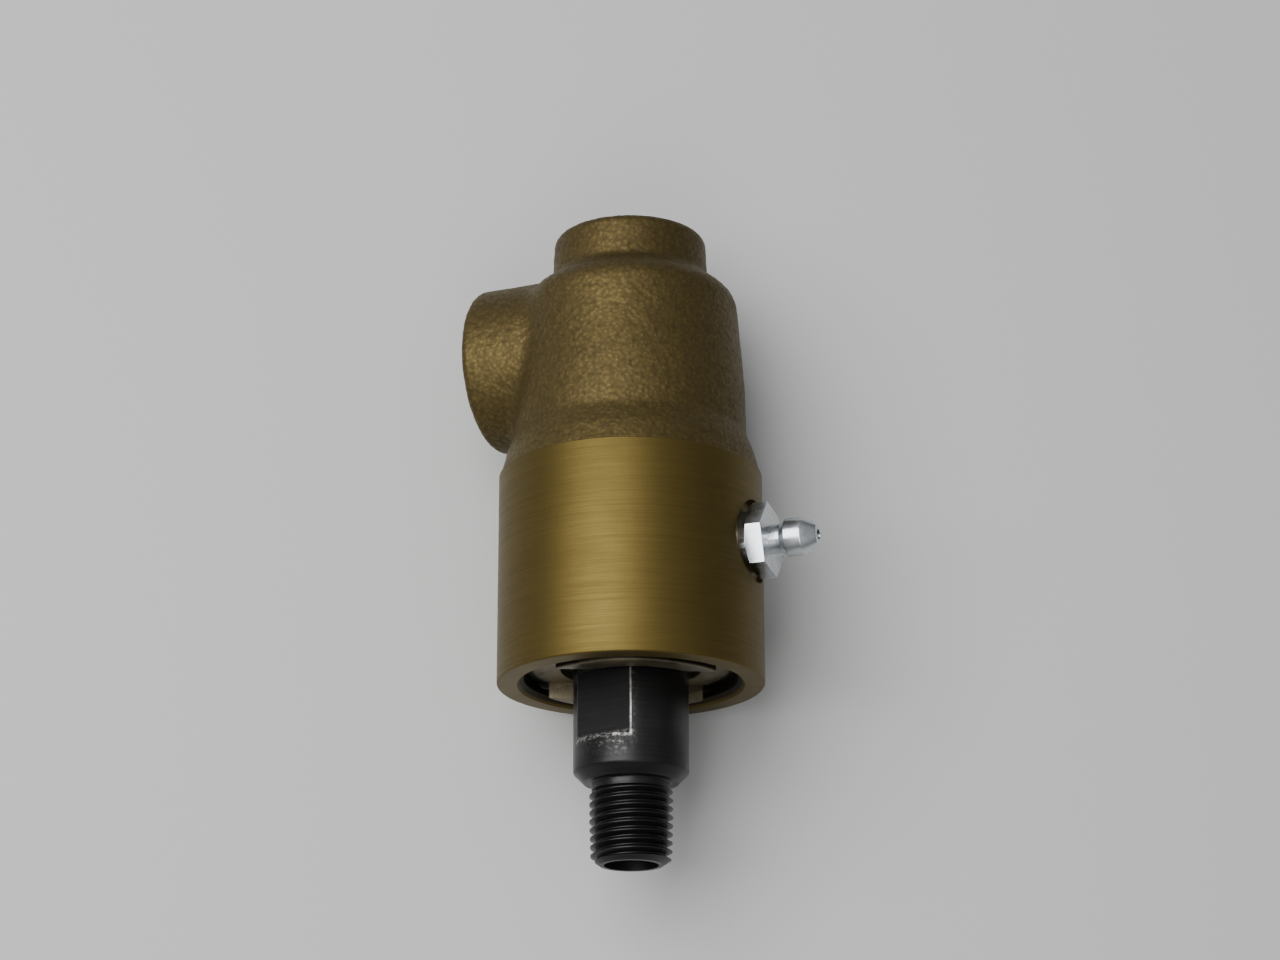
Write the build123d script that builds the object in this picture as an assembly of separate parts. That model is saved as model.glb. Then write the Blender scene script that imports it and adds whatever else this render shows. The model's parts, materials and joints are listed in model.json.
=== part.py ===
from build123d import *
import math
import os

# Hydraulic rotary union, lying on its side.
# Y is the turning axis: the rotor leaves toward -Y, the end port faces +Y.
# +Z is up, the ground is at z = -BODY_R, the origin is on the axis at the
# rotor's thread shoulder. All sizes in mm.

# ---- clearances -----------------------------------------------------------
RUN_FIT = 0.05          # radial clearance of sliding and turning fits
THREAD_CLEAR = 0.02     # radial clearance of screwed joints
AIR = 0.5               # gap between neighbours that must never touch
LAP = 1.0               # overrun of cutting tools past a face
EDGE = 0.3              # rounding of turned edges

# ---- standard bearing, 17 x 35 x 10 ---------------------------------------
BRG_BORE_D = 17.0
BRG_OD = 35.0
BRG_W = 10.0
BRG_OUTER_EDGE = 0.5
BRG_INNER_EDGE = 0.4
BALL_D = 4.762
BALL_COUNT = 10
RACE_GAP = 4.0          # radial gap between the shoulders of the two races
RACE_CONFORMITY = 1.03  # groove radius over ball radius
SHIELD_T = 0.4
SHIELD_CLEAR = 0.25     # radial gap between a shield and the inner race
CAGE_T = 1.6
CAGE_RIM = 0.819        # cage width left beside a ball

# ---- rotor ----------------------------------------------------------------
SHAFT_D = 19.05
THREAD_OD = 13.716      # 1/4 NPT male thread
THREAD_LEN = 11.5
THREAD_RELIEF = 1.1
THREAD_TAPER = 16.0     # length over change of diameter
TAPER_LEN = 7.376       # crests taper over this length from the tip
TIP_CHAMFER = 0.9
TIP_LAND = 0.7          # width of the ring-shaped face at the tip
BORE_D = 9.0
COLLAR_ROUND = 1.8
FLAT_AF = 15.875
FLAT_START = 6.4
FLAT_OVERRUN = 0.9      # the flats end this far inside the housing's face
FLAT_TURN = 34.0        # turn of the first flat from straight up, toward -X
ROTOR_TAIL = 2.4        # rotor length past the rear bearing

# ---- housing --------------------------------------------------------------
BODY_D = 44.45
FACE_Y = 16.5           # open end face of the housing
MACHINED_LEN = 36.0
FACE_EDGE = 0.4
FLARE_LIP_STEP = 1.0    # lip of the cast flare below the machined skin
FLARE_LIP_LEN = 3.5
FLARE_LIP_ROUND = 2.5
FLARE_LEN = 7.1         # from the machined edge to the cast cylinder
FLARE_ROOT_ROUND = 3.0
CAST_STEP = 2.375       # cast cylinder below the machined skin
CAST_DRAFT = 0.15       # fall of the cast cylinder up to the port chamber
TAIL_STEP = 1.3         # further fall up to the shoulder
TAIL_BLEND = 40.0       # radius of the long curve between the two
SHOULDER_LEN = 3.6      # length of the sloping shoulder before the neck
SHOULDER_ROUND = 5.0
END_BOSS_D = 27.0
END_BOSS_LEN = 7.8      # from the neck to the end port's face
END_BOSS_DRAFT = 0.3
END_BOSS_ROUND = 1.8
END_STANDOFF = 6.7      # end face past the side boss's rim
MOUTH_CHAMFER = 1.1
PASSAGE_STEP = 0.3      # side passage past the floor of the port chamber
SIDE_PORT_REACH = 25.9
SIDE_BOSS_D = 28.8
SIDE_BOSS_DRAFT = 0.3
SIDE_BOSS_ROUND = 1.5
PORT_TAP_D = 14.7       # 3/8 NPT female
PORT_TAP_DEPTH = 13.0
PORT_CHAMFER = 1.3
PORT_PASSAGE_D = 13.0
DRILL_POINT = 0.6       # length of the cone at the foot of a tapped bore
CHAMBER_D = 19.0
JUNCTION_FILLET = 2.5

# ---- retainer ring --------------------------------------------------------
RING_INSET = 0.1        # ring's face below the housing's
RING_T = 4.9
RING_THREAD_STEP = 0.25 # thread's radius over the bearing's
RING_LIP_STEP = 1.45    # lip's radius below the thread's
RING_LIP_T = 1.7
RING_LEAD = 0.5         # chamfer that leads into the thread
RING_SHAFT_GAP = 2.175  # radial gap around the rotor
RING_ROUND = 0.9
SLOT_W = 19.5
SLOT_DEPTH = 2.6
SLOT_TURN = 5.0

# ---- spacing inside -------------------------------------------------------
SPACER_LEN = 14.0
SPACER_WALL = 2.3
GREASE_HOLE_D = 3.6
GREASE_HOLES = 4
GREASE_GROOVE_W = 5.0
GREASE_GROOVE_DEPTH = 0.5
NIPPLE_OFFSET = 0.5     # nipple past the middle of the spacer
SNAP_T = 1.0
SNAP_DEPTH = 0.5
SNAP_WALL = 2.6
SNAP_GAP = 50.0         # open angle of the snap ring, degrees

# ---- seals ----------------------------------------------------------------
SEAL_POCKET_DEPTH = 3.3
SEAL_POCKET_WALL = 1.38 # rotor wall around the seal's pocket
SEAL_PROUD = 0.7
SEAL_NOSE_STEP = 0.5
SEAL_FILM = 0.02        # film between the two seal faces
SEAL_CAVITY_D = 24.0
FLANGE_D = 20.8
FLANGE_T = 1.8
TUBE_WALL = 1.5
TUBE_OVERHANG = 1.6
WEB_T = 3.8
ORING_D = 1.3
GROOVE_SIDE = 0.2       # groove's width beside the O-ring, each side
WASHER_T = 0.5
WASHER_CLEAR = 0.2      # radial gap between the washer and the seal's tube
WASHER_RIM = 0.55       # washer's rim outside the spring
WIRE_D = 0.7
SPRING_LEN = 3.58
SPRING_TURNS = 2.5
SPRING_CLEAR = 0.75     # radial gap between the spring and the seal's tube
PIN_D = 1.6
PIN_RIM = 0.5           # flange left outside the pin's hole
PIN_SEAT = 2.5
PIN_CLEAR = 0.15
PIN_INSET = 0.3         # pin's tip behind the seal's face

# ---- grease nipple, 1/8-27 shank ------------------------------------------
SPOT_D = 14.0
SPOT_DEPTH = 1.425      # spot face below the machined skin
HEX_AF = 11.1
HEX_STANDOFF = 1.2      # hexagon above the spot face
HEX_T = 3.0
HEX_TURN = 20.0         # turn of a flat from straight up, toward the rotor
HEX_CHAMFER = 0.6
SHANK_D = 10.2
SHANK_GAP = 0.4         # shank end stops this far short of the bearing bore
SHANK_LEAD_STEP = 0.4
SHANK_LEAD = 0.6
NECK_D = 4.9
NECK_LEN = 2.2
HEAD_D = 6.4
HEAD_LEN = 5.8
HEAD_FOOT = 0.9         # length of the cone from the neck to the head
HEAD_BARREL = 3.4       # from the neck to where the head tapers
HEAD_ROUND = 0.6
TIP_HOLE_D = 1.7
TIP_RIM = 0.9
GREASE_BORE_D = 2.6
CHECK_BALL_D = 2.2
CHECK_BALL_INSET = 0.9  # ball below the nipple's tip
CHECK_WIRE_D = 0.3
CHECK_SPRING_LEN = 4.0
CHECK_SPRING_CUP = 0.25 # the spring reaches this far up around the ball
CHECK_TURNS = 4
SEAT_SLOPE = 0.75       # height of the ball seat's cone over its radial width

# ---- derived --------------------------------------------------------------
# along the axis
RING_Y = FACE_Y + RING_INSET
FRONT_Y = RING_Y + RING_T
SPACER_Y = FRONT_Y + BRG_W
REAR_Y = SPACER_Y + SPACER_LEN
SHOULDER_Y = REAR_Y + BRG_W
ROTOR_END_Y = SHOULDER_Y + ROTOR_TAIL
ROTOR_FACE_Y = ROTOR_END_Y + SEAL_PROUD
SEAL_FACE_Y = ROTOR_FACE_Y + SEAL_FILM
FLANGE_BACK_Y = SEAL_FACE_Y + FLANGE_T
WASHER_Y = FLANGE_BACK_Y + SPRING_LEN
WEB_Y = WASHER_Y + WASHER_T
PORT_CHAMBER_Y = WEB_Y + WEB_T
SIDE_PORT_Y = PORT_CHAMBER_Y + PASSAGE_STEP + PORT_PASSAGE_D / 2
END_Y = SIDE_PORT_Y + SIDE_BOSS_D / 2 + END_STANDOFF
CAST_Y = FACE_Y + MACHINED_LEN
NIPPLE_Y = SPACER_Y + SPACER_LEN / 2 + NIPPLE_OFFSET
# out from the axis
BODY_R = BODY_D / 2
SHAFT_R = SHAFT_D / 2
SEAT_R = BRG_BORE_D / 2
BRG_R = BRG_OD / 2
PITCH_R = (SEAT_R + BRG_R) / 2
INNER_SHOULDER_R = PITCH_R - RACE_GAP / 2
OUTER_SHOULDER_R = PITCH_R + RACE_GAP / 2
RING_THREAD_R = BRG_R + RING_THREAD_STEP
SEAL_R = SEAT_R - SEAL_POCKET_WALL - THREAD_CLEAR
TUBE_R = BORE_D / 2 + TUBE_WALL
ORING_MEAN_R = TUBE_R + RUN_FIT + ORING_D / 2
SPRING_MEAN_R = TUBE_R + SPRING_CLEAR + WIRE_D / 2
PIN_PITCH_R = FLANGE_D / 2 - PIN_RIM - PIN_D / 2
SPOT_REACH = BODY_R - SPOT_DEPTH
HEX_REACH = SPOT_REACH + HEX_STANDOFF
NECK_REACH = HEX_REACH + HEX_T
HEAD_REACH = NECK_REACH + NECK_LEN
NIPPLE_REACH = HEAD_REACH + HEAD_LEN
CHECK_BALL_REACH = NIPPLE_REACH - CHECK_BALL_INSET - CHECK_BALL_D / 2 - RUN_FIT
# lean of the side port below the horizontal when the body rests on the
# machined cylinder and on the rim of the side boss
REST_X = SIDE_PORT_REACH - SIDE_BOSS_ROUND
REST_Z = SIDE_BOSS_D / 2 - SIDE_BOSS_ROUND
LEAN = math.degrees(math.asin((BODY_R - SIDE_BOSS_ROUND) / math.hypot(REST_X, REST_Z))
                    - math.atan2(REST_Z, REST_X))


# ---- drawing helpers ------------------------------------------------------
def corner(before, at, after, radius):
    """Tangent points and middle point of a rounded profile corner."""
    p, a, b = Vector(*at), Vector(*before), Vector(*after)
    u, v = (a - p).normalized(), (b - p).normalized()
    half = math.acos(max(-1.0, min(1.0, u.dot(v)))) / 2
    reach = radius / math.tan(half)
    middle = p + (u + v).normalized() * (radius / math.sin(half) - radius)
    return p + u * reach, middle, p + v * reach


def turned(points):
    """Solid of revolution about Y from (radius, y, optional corner radius)."""
    edges, ends = [], []
    count = len(points)
    for i, point in enumerate(points):
        here = (point[0], point[1])
        if len(point) == 3 and point[2] > 0:
            before, after = points[i - 1][:2], points[(i + 1) % count][:2]
            first, middle, last = corner(before, here, after, point[2])
            edges.append(ThreePointArc(first, middle, last))
            ends.append((first, last))
        else:
            ends.append((Vector(*here), Vector(*here)))
    for i in range(count):
        start, stop = ends[i][1], ends[(i + 1) % count][0]
        if (stop - start).length > 1e-6:
            edges.append(Line(start, stop))
    return revolve(make_face(Wire(edges)), Axis.Y)


def rod(radius, y0, y1):
    """Plain cylinder along Y."""
    return turned([(0, y0), (radius, y0), (radius, y1), (0, y1)])


def tube(inner, outer, y0, y1):
    """Plain tube along Y."""
    return turned([(inner, y0), (outer, y0), (outer, y1), (inner, y1)])


def radial(solid, y, angle):
    """Stand a solid built along +Y out from the axis, at an XZ angle."""
    return Pos(0, y, 0) * Rot(0, -angle, 0) * Rot(0, 0, -90) * solid


def coil(mean_r, wire_r, y0, y1, turns):
    """Round-wire coil spring along Y with its wire inside y0..y1."""
    pitch = (y1 - y0 - 2 * wire_r) / turns
    path = Helix(pitch, pitch * turns, mean_r)
    section = Plane(origin=path @ 0, z_dir=path % 0) * Circle(wire_r)
    return Pos(0, y0 + wire_r, 0) * Rot(-90, 0, 0) * sweep(section, path=path)


# ---- sub-parts ------------------------------------------------------------
def housing_blank():
    """Outside of the housing: machined end, cast flare, tail and end boss."""
    cast_r = BODY_R - CAST_STEP
    waist_r = cast_r - CAST_DRAFT
    boss_r = END_BOSS_D / 2
    neck_y = END_Y - END_BOSS_LEN
    return turned([
        (0, FACE_Y), (BODY_R, FACE_Y, FACE_EDGE), (BODY_R, CAST_Y),
        (BODY_R - FLARE_LIP_STEP, CAST_Y + FLARE_LIP_LEN, FLARE_LIP_ROUND),
        (cast_r, CAST_Y + FLARE_LEN, FLARE_ROOT_ROUND), (waist_r, PORT_CHAMBER_Y, TAIL_BLEND),
        (waist_r - TAIL_STEP, neck_y - SHOULDER_LEN, SHOULDER_ROUND), (boss_r, neck_y),
        (boss_r - END_BOSS_DRAFT, END_Y, END_BOSS_ROUND), (0, END_Y)])


def side_boss():
    """Round boss of the side port, built along +Y from the axis."""
    rim_r = SIDE_BOSS_D / 2
    return turned([(0, 0), (rim_r + SIDE_BOSS_DRAFT, 0), (rim_r, SIDE_PORT_REACH, SIDE_BOSS_ROUND),
                   (0, SIDE_PORT_REACH)])


def bearing_cut():
    """Retainer thread, bearing bore, shoulder and seal cavity."""
    cavity_r = SEAL_CAVITY_D / 2
    return turned([
        (0, FACE_Y - LAP), (RING_THREAD_R + MOUTH_CHAMFER + LAP, FACE_Y - LAP),
        (RING_THREAD_R, FACE_Y + MOUTH_CHAMFER), (RING_THREAD_R, FRONT_Y), (BRG_R, FRONT_Y),
        (BRG_R, SHOULDER_Y), (cavity_r, SHOULDER_Y), (cavity_r, WEB_Y), (0, WEB_Y)])


def web_cut():
    """Bore through the web with its O-ring groove."""
    groove_y = WEB_Y + WEB_T / 2
    groove_half = ORING_D / 2 + GROOVE_SIDE
    bore = rod(TUBE_R + RUN_FIT, WEB_Y - LAP, PORT_CHAMBER_Y + LAP)
    return bore + rod(ORING_MEAN_R + ORING_D / 2, groove_y - groove_half, groove_y + groove_half)


def nipple_cut():
    """Spot face and hole for the grease nipple, built along +Y from the axis."""
    spot = rod(SPOT_D / 2, SPOT_REACH, BODY_R + LAP)
    return spot + rod(SHANK_D / 2 + THREAD_CLEAR, LAP, BODY_R)


def make_housing():
    body = housing_blank() + radial(side_boss(), SIDE_PORT_Y, 180 + LEAN)
    body = blend_boss(body)
    body -= bearing_cut()
    body -= web_cut()
    body -= rod(CHAMBER_D / 2, PORT_CHAMBER_Y, END_Y - PORT_TAP_DEPTH)
    body -= port_cut(END_Y, LAP)
    side_cut = port_cut(SIDE_PORT_REACH, SIDE_PORT_REACH - PORT_TAP_DEPTH - LAP)
    body -= radial(side_cut, SIDE_PORT_Y, 180 + LEAN)
    body -= radial(nipple_cut(), NIPPLE_Y, LEAN)
    body -= pin_at(rod(PIN_D / 2, WEB_Y - LAP, WEB_Y + PIN_SEAT))
    return body


def blend_boss(body):
    """Cast fillet where the side boss leaves the body."""
    seam = [e for e in body.edges()
            if e.geom_type not in (GeomType.CIRCLE, GeomType.LINE)
            and abs(e.center().Y - SIDE_PORT_Y) < SIDE_BOSS_D]
    return fillet(seam, JUNCTION_FILLET)


def port_cut(face, passage):
    """Threaded port cut: chamfer, tap bore and passage, opening toward +Y."""
    tap_r = PORT_TAP_D / 2
    floor = face - PORT_TAP_DEPTH
    bore_r = PORT_PASSAGE_D / 2
    return turned([
        (0, floor - passage), (bore_r, floor - passage), (bore_r, floor - DRILL_POINT), (tap_r, floor),
        (tap_r, face - PORT_CHAMFER), (tap_r + PORT_CHAMFER + LAP, face + LAP), (0, face + LAP)])


def pin_at(solid):
    """Move a solid from the axis to the anti-rotation pin's place."""
    return Rot(0, 90, 0) * Pos(PIN_PITCH_R, 0, 0) * solid


def make_retainer_ring():
    y0, y1 = RING_Y, FRONT_Y
    thread_r = RING_THREAD_R - THREAD_CLEAR
    lip_r = RING_THREAD_R - RING_LIP_STEP
    hole_r = SHAFT_R + RING_SHAFT_GAP
    lip_y = y0 + RING_LIP_T
    ring = turned([
        (hole_r, y0, RING_ROUND), (lip_r, y0, EDGE), (lip_r, lip_y), (thread_r - RING_LEAD, lip_y),
        (thread_r, lip_y + RING_LEAD), (thread_r, y1), (OUTER_SHOULDER_R, y1),
        (OUTER_SHOULDER_R, y1 - AIR), (hole_r, y1 - AIR)])
    slot = Pos(0, y0, 0) * Box(BODY_D, 2 * SLOT_DEPTH, SLOT_W)
    return ring - Rot(0, SLOT_TURN, 0) * slot


def race_groove(y0):
    """Ball track of both races."""
    return Pos(0, y0 + BRG_W / 2, 0) * Rot(90, 0, 0) * Torus(PITCH_R, BALL_D / 2 * RACE_CONFORMITY)


def make_outer_race(y0):
    y1 = y0 + BRG_W
    race = turned([(OUTER_SHOULDER_R, y0), (BRG_R, y0, BRG_OUTER_EDGE), (BRG_R, y1, BRG_OUTER_EDGE),
                   (OUTER_SHOULDER_R, y1)])
    return race - race_groove(y0)


def make_inner_race(y0):
    y1 = y0 + BRG_W
    race = turned([(SEAT_R, y0, BRG_INNER_EDGE), (INNER_SHOULDER_R, y0), (INNER_SHOULDER_R, y1),
                   (SEAT_R, y1, BRG_INNER_EDGE)])
    return race - race_groove(y0)


def make_balls(y0):
    step = 360 / BALL_COUNT
    ball = Pos(PITCH_R, y0 + BRG_W / 2, 0) * Sphere(BALL_D / 2)
    return Compound([Rot(0, i * step, 0) * ball for i in range(BALL_COUNT)])


def make_cage(y0):
    middle = y0 + BRG_W / 2
    half = BALL_D / 2 + CAGE_RIM
    cage = tube(PITCH_R - CAGE_T / 2, PITCH_R + CAGE_T / 2, middle - half, middle + half)
    pocket = rod(BALL_D / 2 + RUN_FIT, PITCH_R - CAGE_T, PITCH_R + CAGE_T)
    step = 360 / BALL_COUNT
    return cage - [radial(pocket, middle, i * step) for i in range(BALL_COUNT)]


def make_shield(y_face):
    """Thin shield held by the outer race, clear of the inner race."""
    return tube(INNER_SHOULDER_R + SHIELD_CLEAR, OUTER_SHOULDER_R, y_face, y_face + SHIELD_T)


def make_outer_spacer():
    inner, groove_r = BRG_R - SPACER_WALL, BRG_R - GREASE_GROOVE_DEPTH
    low, high = NIPPLE_Y - GREASE_GROOVE_W / 2, NIPPLE_Y + GREASE_GROOVE_W / 2
    spacer = turned([(inner, SPACER_Y), (BRG_R, SPACER_Y), (BRG_R, low), (groove_r, low),
                     (groove_r, high), (BRG_R, high), (BRG_R, REAR_Y), (inner, REAR_Y)])
    hole = rod(GREASE_HOLE_D / 2, inner - LAP, BRG_R + LAP)
    for i in range(GREASE_HOLES):
        spacer -= radial(hole, NIPPLE_Y, LEAN + i * 360 / GREASE_HOLES)
    return spacer


def make_inner_spacer():
    return tube(SEAT_R, SEAT_R + SPACER_WALL, SPACER_Y, REAR_Y)


def make_rotor():
    tip_y = -THREAD_RELIEF - THREAD_LEN - TIP_CHAMFER
    crest_y = tip_y + TIP_CHAMFER
    bore_r, thread_r = BORE_D / 2, THREAD_OD / 2
    tip_r = thread_r - TAPER_LEN / THREAD_TAPER / 2
    snap_r = SEAT_R - SNAP_DEPTH
    snap_end = SHOULDER_Y + SNAP_T
    pocket_r = SEAL_R + THREAD_CLEAR
    pocket_y = ROTOR_END_Y - SEAL_POCKET_DEPTH
    rotor = turned([
        (bore_r, tip_y), (bore_r + TIP_LAND, tip_y), (tip_r, crest_y), (thread_r, crest_y + TAPER_LEN),
        (thread_r, 0), (SHAFT_R, 0, COLLAR_ROUND), (SHAFT_R, FRONT_Y), (SEAT_R, FRONT_Y),
        (SEAT_R, SHOULDER_Y), (snap_r, SHOULDER_Y), (snap_r, snap_end), (SEAT_R, snap_end),
        (SEAT_R, ROTOR_END_Y, EDGE), (pocket_r, ROTOR_END_Y), (pocket_r, pocket_y), (bore_r, pocket_y)])
    flat_len = FACE_Y + FLAT_OVERRUN - FLAT_START
    cut = Box(SHAFT_D, flat_len, SHAFT_R)
    cut = Pos(0, FLAT_START + flat_len / 2, (FLAT_AF + SHAFT_R) / 2) * cut
    for turn in (0, 180):
        rotor -= Rot(0, turn - FLAT_TURN, 0) * cut
    return rotor


def make_snap_ring():
    inner = SEAT_R - SNAP_DEPTH
    ring = tube(inner, inner + SNAP_WALL, SHOULDER_Y, SHOULDER_Y + SNAP_T)
    reach = 2 * (inner + SNAP_WALL)
    half = math.radians(SNAP_GAP / 2)
    end_x, end_z = reach * math.cos(half), reach * math.sin(half)
    wedge = make_face(Polyline((0, 0), (end_x, end_z), (end_x, -end_z), close=True))
    wedge = Rot(-90, 0, 0) * extrude(wedge, SNAP_T + 2 * LAP)
    return ring - Pos(0, SHOULDER_Y - LAP, 0) * wedge


def make_rotating_seal():
    y0 = ROTOR_END_Y - SEAL_POCKET_DEPTH
    nose_r = SEAL_R - SEAL_NOSE_STEP
    return turned([(BORE_D / 2, y0), (SEAL_R, y0), (SEAL_R, ROTOR_END_Y), (nose_r, ROTOR_END_Y),
                   (nose_r, ROTOR_FACE_Y), (BORE_D / 2, ROTOR_FACE_Y)])


def make_floating_seal():
    tube_end = PORT_CHAMBER_Y + TUBE_OVERHANG
    seal = turned([(BORE_D / 2, SEAL_FACE_Y), (FLANGE_D / 2, SEAL_FACE_Y, EDGE),
                   (FLANGE_D / 2, FLANGE_BACK_Y), (TUBE_R, FLANGE_BACK_Y), (TUBE_R, tube_end, EDGE),
                   (BORE_D / 2, tube_end)])
    return seal - pin_at(rod(PIN_D / 2 + PIN_CLEAR, SEAL_FACE_Y - LAP, FLANGE_BACK_Y + LAP))


def make_floating_seal_o_ring():
    return Pos(0, WEB_Y + WEB_T / 2, 0) * Rot(90, 0, 0) * Torus(ORING_MEAN_R, ORING_D / 2)


def make_spring_washer():
    return tube(TUBE_R + WASHER_CLEAR, SPRING_MEAN_R + WIRE_D / 2 + WASHER_RIM, WASHER_Y, WEB_Y)


def make_seal_spring():
    return coil(SPRING_MEAN_R, WIRE_D / 2, FLANGE_BACK_Y, WASHER_Y, SPRING_TURNS)


def make_anti_rotation_pin():
    tip_y, seat_y = SEAL_FACE_Y + PIN_INSET, WEB_Y + PIN_SEAT
    return pin_at(turned([(0, tip_y), (PIN_D / 2, tip_y, EDGE), (PIN_D / 2, seat_y), (0, seat_y)]))


def nipple_body():
    """Shank, neck and head of the grease nipple, built along +Y."""
    low = BRG_R + SHANK_GAP
    shank_r, neck_r, head_r = SHANK_D / 2, NECK_D / 2, HEAD_D / 2
    return turned([
        (0, low), (shank_r - SHANK_LEAD_STEP, low), (shank_r, low + SHANK_LEAD), (shank_r, HEX_REACH),
        (neck_r, HEX_REACH), (neck_r, HEAD_REACH - EDGE), (head_r, HEAD_REACH - EDGE + HEAD_FOOT, EDGE),
        (head_r, HEAD_REACH + HEAD_BARREL, HEAD_ROUND), (TIP_HOLE_D / 2 + TIP_RIM, NIPPLE_REACH, EDGE),
        (0, NIPPLE_REACH)])


def nipple_hexagon():
    """Hexagon with chamfered corners, built along +Y."""
    hexagon = extrude(RegularPolygon(HEX_AF / 2, 6, major_radius=False), HEX_T)
    hexagon = Pos(0, HEX_REACH, 0) * Rot(0, HEX_TURN, 0) * Rot(-90, 0, 0) * hexagon
    wide = HEX_AF / 2 + 2 * HEX_CHAMFER
    corners = turned([(0, HEX_REACH), (HEX_AF / 2, HEX_REACH), (wide, HEX_REACH + HEX_CHAMFER),
                      (wide, NECK_REACH - HEX_CHAMFER / 2), (wide - HEX_CHAMFER, NECK_REACH),
                      (0, NECK_REACH)])
    return hexagon & corners


def nipple_bore():
    """Grease passage with the check ball's conical seat, built along +Y."""
    ball_r, tip_r, bore_r = CHECK_BALL_D / 2, TIP_HOLE_D / 2, GREASE_BORE_D / 2
    seat = CHECK_BALL_REACH + RUN_FIT + math.sqrt(ball_r ** 2 - tip_r ** 2)
    cone = (bore_r - tip_r) * SEAT_SLOPE
    low, high = BRG_R + SHANK_GAP - LAP, NIPPLE_REACH + LAP
    return turned([(0, low), (bore_r, low), (bore_r, seat - cone), (tip_r, seat), (tip_r, high),
                   (0, high)])


def make_grease_nipple():
    nipple = nipple_body() + nipple_hexagon()
    return radial(nipple - nipple_bore(), NIPPLE_Y, LEAN)


def make_grease_nipple_ball():
    return radial(Pos(0, CHECK_BALL_REACH, 0) * Sphere(CHECK_BALL_D / 2), NIPPLE_Y, LEAN)


def make_grease_nipple_spring():
    top = CHECK_BALL_REACH - CHECK_BALL_D / 2 + CHECK_SPRING_CUP
    mean_r = GREASE_BORE_D / 2 - CHECK_WIRE_D
    spring = coil(mean_r, CHECK_WIRE_D / 2, top - CHECK_SPRING_LEN, top, CHECK_TURNS)
    return radial(spring, NIPPLE_Y, LEAN)


PARTS = {
    "housing": make_housing(),
    "retainer_ring": make_retainer_ring(),
    "rotor": make_rotor(),
    "rotor_snap_ring": make_snap_ring(),
    "rotating_seal": make_rotating_seal(),
    "outer_spacer": make_outer_spacer(),
    "inner_spacer": make_inner_spacer(),
    "floating_seal": make_floating_seal(),
    "floating_seal_o_ring": make_floating_seal_o_ring(),
    "seal_spring": make_seal_spring(),
    "spring_washer": make_spring_washer(),
    "anti_rotation_pin": make_anti_rotation_pin(),
    "grease_nipple": make_grease_nipple(),
    "grease_nipple_ball": make_grease_nipple_ball(),
    "grease_nipple_spring": make_grease_nipple_spring(),
}
for side, start, shield in (("front", FRONT_Y, FRONT_Y), ("rear", REAR_Y, REAR_Y + BRG_W - SHIELD_T)):
    PARTS[side + "_outer_race"] = make_outer_race(start)
    PARTS[side + "_inner_race"] = make_inner_race(start)
    PARTS[side + "_balls"] = make_balls(start)
    PARTS[side + "_cage"] = make_cage(start)
    PARTS[side + "_shield"] = make_shield(shield)

os.makedirs("parts", exist_ok=True)
for name, shape in PARTS.items():
    export_step(shape, os.path.join("parts", name + ".step"))
print("parts:", len(PARTS))
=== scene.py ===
"""Dresses the hydraulic rotary union: its own meshes, finishes, light and camera.

Pieces are modelled in millimetres, in the frame of the CAD model, and brought
to metres when they are done.
"""
from __future__ import annotations

import json
import logging
import math
from dataclasses import dataclass, field
from enum import Enum
from typing import Callable, Union

import bpy
from mathutils import Matrix, Vector

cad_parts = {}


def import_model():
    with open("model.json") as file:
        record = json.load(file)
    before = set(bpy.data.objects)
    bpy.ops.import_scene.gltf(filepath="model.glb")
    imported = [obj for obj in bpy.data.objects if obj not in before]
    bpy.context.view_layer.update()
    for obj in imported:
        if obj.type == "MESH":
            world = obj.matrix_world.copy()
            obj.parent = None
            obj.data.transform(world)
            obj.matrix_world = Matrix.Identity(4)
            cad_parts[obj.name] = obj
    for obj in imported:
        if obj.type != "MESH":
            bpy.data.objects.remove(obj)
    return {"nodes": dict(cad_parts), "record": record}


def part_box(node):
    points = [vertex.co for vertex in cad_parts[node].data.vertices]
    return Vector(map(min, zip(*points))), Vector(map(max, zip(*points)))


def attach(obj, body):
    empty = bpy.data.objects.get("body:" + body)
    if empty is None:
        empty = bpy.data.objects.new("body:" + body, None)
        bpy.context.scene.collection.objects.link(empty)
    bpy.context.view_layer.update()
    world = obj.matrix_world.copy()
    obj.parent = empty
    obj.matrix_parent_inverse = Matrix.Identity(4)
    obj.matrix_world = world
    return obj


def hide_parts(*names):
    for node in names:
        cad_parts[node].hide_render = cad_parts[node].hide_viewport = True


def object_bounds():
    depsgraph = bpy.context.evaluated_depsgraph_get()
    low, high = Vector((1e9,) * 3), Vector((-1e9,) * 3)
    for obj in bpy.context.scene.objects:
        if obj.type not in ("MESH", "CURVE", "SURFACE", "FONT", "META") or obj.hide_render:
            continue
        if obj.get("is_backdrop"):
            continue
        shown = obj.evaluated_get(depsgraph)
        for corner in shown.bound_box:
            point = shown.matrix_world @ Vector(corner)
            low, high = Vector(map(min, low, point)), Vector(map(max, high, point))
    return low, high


log = logging.getLogger("rotary_union")

MM = 0.001
WELD = 1e-4             # mm, merge distance of doubled points
LAP = 1.0               # mm, overrun of cutting tools past a face
CELL_SMOOTHNESS = 0.6

Point = tuple[float, float]
Colour = tuple[float, float, float]
Scale = tuple[float, float, float]


# ---------------------------------------------------------------------------
# Modelling helpers
# ---------------------------------------------------------------------------
class Cut(Enum):
    """What a tool solid does to the piece it meets."""

    AWAY = "DIFFERENCE"
    COMMON = "INTERSECT"
    JOIN = "UNION"


def deselect() -> None:
    """Leaves edit mode and clears the selection."""
    if bpy.context.object and bpy.context.object.mode != "OBJECT":
        bpy.ops.object.mode_set(mode="OBJECT")
    bpy.ops.object.select_all(action="DESELECT")


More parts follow.
